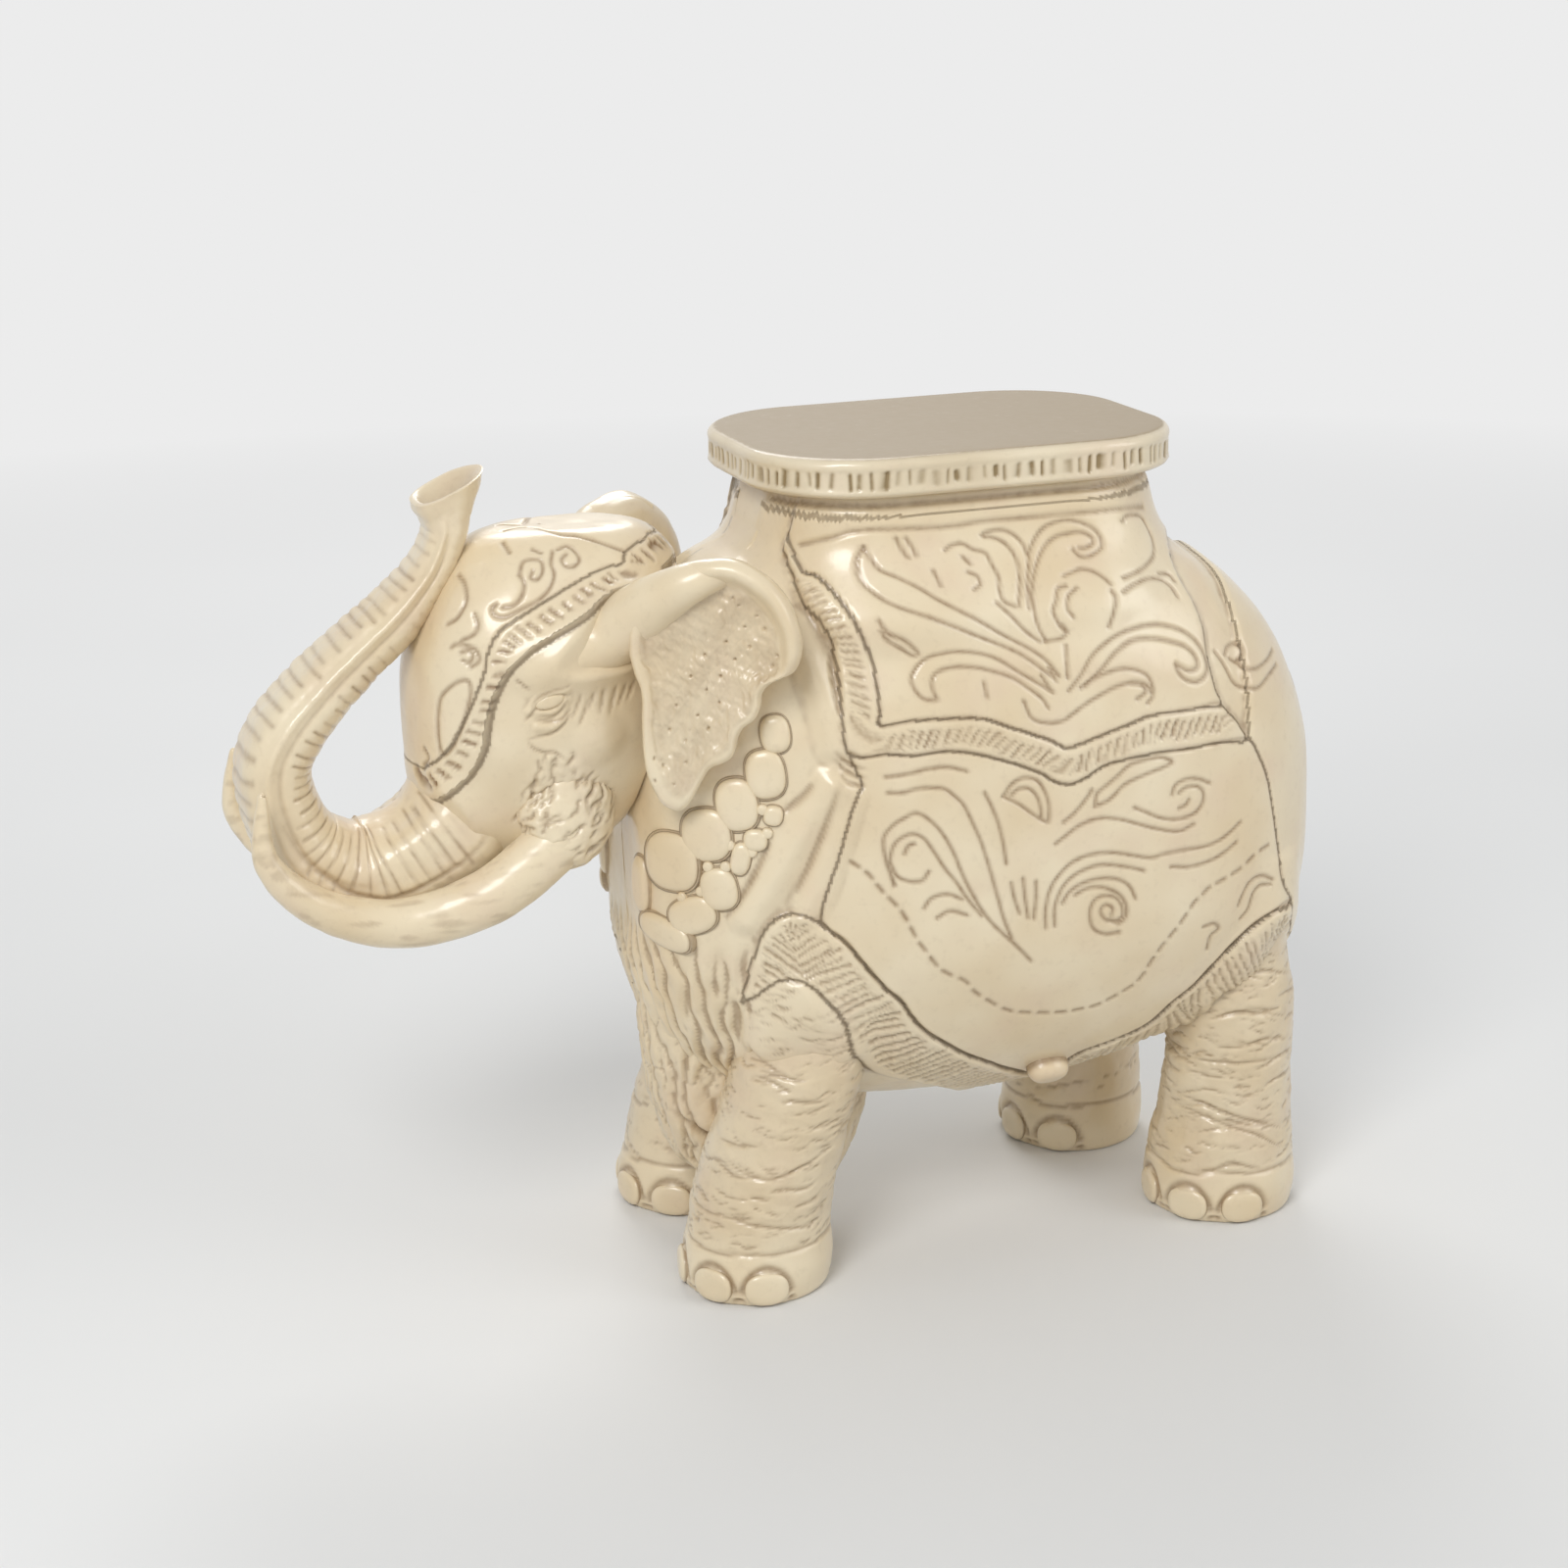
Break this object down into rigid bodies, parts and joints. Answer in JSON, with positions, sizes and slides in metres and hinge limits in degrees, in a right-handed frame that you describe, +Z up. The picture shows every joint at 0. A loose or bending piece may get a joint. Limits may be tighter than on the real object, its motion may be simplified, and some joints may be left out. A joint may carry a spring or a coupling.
{
  "type": "elephant garden stool",
  "caption": "Glazed ceramic garden stool in the shape of a standing elephant with raised trunk, dressed in relief cloths and carrying a flat seat.",
  "frame": {"origin": "on the floor, midway along the length and the width of the whole stool", "axes": "the elephant faces -X, its left side is -Y, +Z is up through the seat"},
  "size_m": [0.5774, 0.2312, 0.432],
  "materials": {
    "cream_glaze": "glossy cream glaze with a tan wash left in the incised lines",
    "seat_glaze": "satin beige glaze with a fluted rim"
  },
  "bodies": {
    "root": {"seat_slab": "seat_glaze", "seat_collar": "cream_glaze", "body_shell": "cream_glaze", "head_shell": "cream_glaze", "head_cloth": "cream_glaze", "head_cloth_border": "cream_glaze", "trunk": "cream_glaze", "left_tusk": "cream_glaze", "right_tusk": "cream_glaze", "left_ear": "cream_glaze", "right_ear": "cream_glaze", "left_eye": "cream_glaze", "right_eye": "cream_glaze", "front_left_leg": "cream_glaze", "front_right_leg": "cream_glaze", "rear_left_leg": "cream_glaze", "rear_right_leg": "cream_glaze", "front_left_toenails": "cream_glaze", "front_right_toenails": "cream_glaze", "rear_left_toenails": "cream_glaze", "rear_right_toenails": "cream_glaze", "front_leg_web": "cream_glaze", "saddle_cloth_left": "cream_glaze", "saddle_cloth_right": "cream_glaze", "saddle_fringe_left": "cream_glaze", "saddle_fringe_right": "cream_glaze", "side_drape_left": "cream_glaze", "side_drape_right": "cream_glaze", "drape_fringe_left": "cream_glaze", "drape_fringe_right": "cream_glaze", "drape_knob_left": "cream_glaze", "drape_knob_right": "cream_glaze", "rump_cloth": "cream_glaze", "collar_plates_upper": "cream_glaze", "collar_plates_lower": "cream_glaze", "tail": "cream_glaze"}
  },
  "joints": []
}
